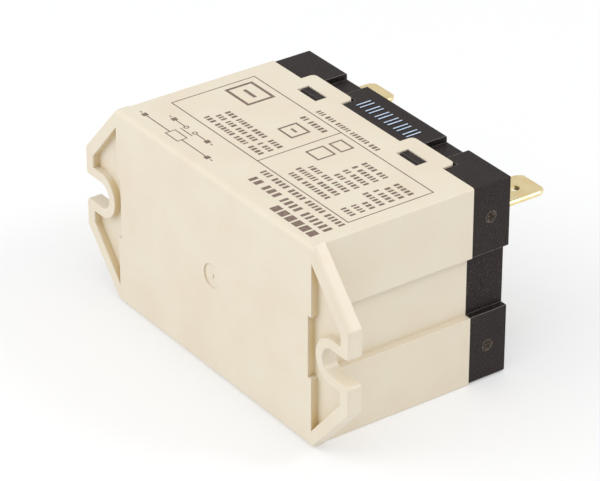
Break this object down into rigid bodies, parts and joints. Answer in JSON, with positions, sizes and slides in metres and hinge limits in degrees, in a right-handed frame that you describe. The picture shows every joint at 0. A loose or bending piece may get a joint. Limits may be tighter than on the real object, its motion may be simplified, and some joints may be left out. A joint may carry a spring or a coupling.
{
  "type": "power relay",
  "caption": "Flange-mounted power relay with four push-on blade terminals: a cream case snapped over a dark base, with a working coil, armature, plunger and contact bridge.",
  "frame": {"origin": "centre of the flat mounting face of the case, midway between the two fixing slots", "axes": "+X along the length of the case, +Y from the mounting face towards the terminals, +Z out of the marked long side of the case; the relay lies on its other long side"},
  "size_m": [0.0682, 0.0456, 0.0336],
  "materials": {
    "cream_case": "satin moulded",
    "black_base": "satin moulded",
    "brass_strip": "bright stamped strip",
    "contact_silver": "silver alloy",
    "copper_strip": "bright rolled copper",
    "ivory_moulding": "satin moulded",
    "spring_steel": "bright spring steel",
    "plated_iron": "zinc or nickel plate",
    "bobbin_plastic": "moulded",
    "enamelled_copper": "enamelled wire",
    "coil_tape": "polyester tape",
    "tinned_wire": "tinned",
    "board_laminate": "paper laminate",
    "diode_body": "moulded epoxy",
    "wire_insulation": "sleeved wire"
  },
  "bodies": {
    "base_frame": {"base": "black_base", "coil_terminal_left": "brass_strip", "coil_terminal_right": "brass_strip", "contact_terminal_left": "brass_strip", "contact_terminal_right": "brass_strip", "fixed_contacts": "contact_silver", "return_spring": "spring_steel", "core": "plated_iron", "yoke": "plated_iron", "hinge_spring": "spring_steel", "hinge_spring_rivets": "plated_iron", "bobbin": "bobbin_plastic", "coil_winding": "enamelled_copper", "coil_tape": "coil_tape", "bobbin_pins": "tinned_wire", "contact_barrier": "black_base", "rectifier_board": "board_laminate", "rectifier_diodes": "diode_body", "lead_left": "tinned_wire", "lead_right": "wire_insulation"},
    "armature_plate": {"armature": "plated_iron"},
    "plunger_carriage": {"plunger": "ivory_moulding", "plunger_clip": "spring_steel", "contact_spring": "spring_steel"},
    "bridge_carriage": {"contact_bridge": "copper_strip", "movable_contacts": "contact_silver"},
    "case_shell": {"case": "cream_case"}
  },
  "joints": [
    {"name": "case_slide", "type": "slide", "parent": "base_frame", "child": "case_shell", "axis": [0, -1, 0], "range_m": [0, 0.036]},
    {"name": "armature_hinge", "type": "hinge", "parent": "base_frame", "child": "armature_plate", "pos_m": [0, 0.00697, 0.0127], "axis": [1, 0, 0], "range_deg": [0, 5.7], "stiffness_Nm_per_rad": 0.05, "springref_deg": -5.73},
    {"name": "plunger_slide", "type": "slide", "parent": "base_frame", "child": "plunger_carriage", "axis": [0, 1, 0], "range_m": [0, 0.0025], "deforming": ["contact_spring", "return_spring"]},
    {"name": "bridge_slide", "type": "slide", "parent": "base_frame", "child": "bridge_carriage", "axis": [0, 1, 0], "range_m": [0, 0.0018]}
  ],
  "couplings": [
    {"joint": "plunger_slide", "follows": "armature_hinge", "m_per_rad": 0.024981},
    {"joint": "bridge_slide", "follows": "armature_hinge", "m_per_rad": 0.018093}
  ]
}
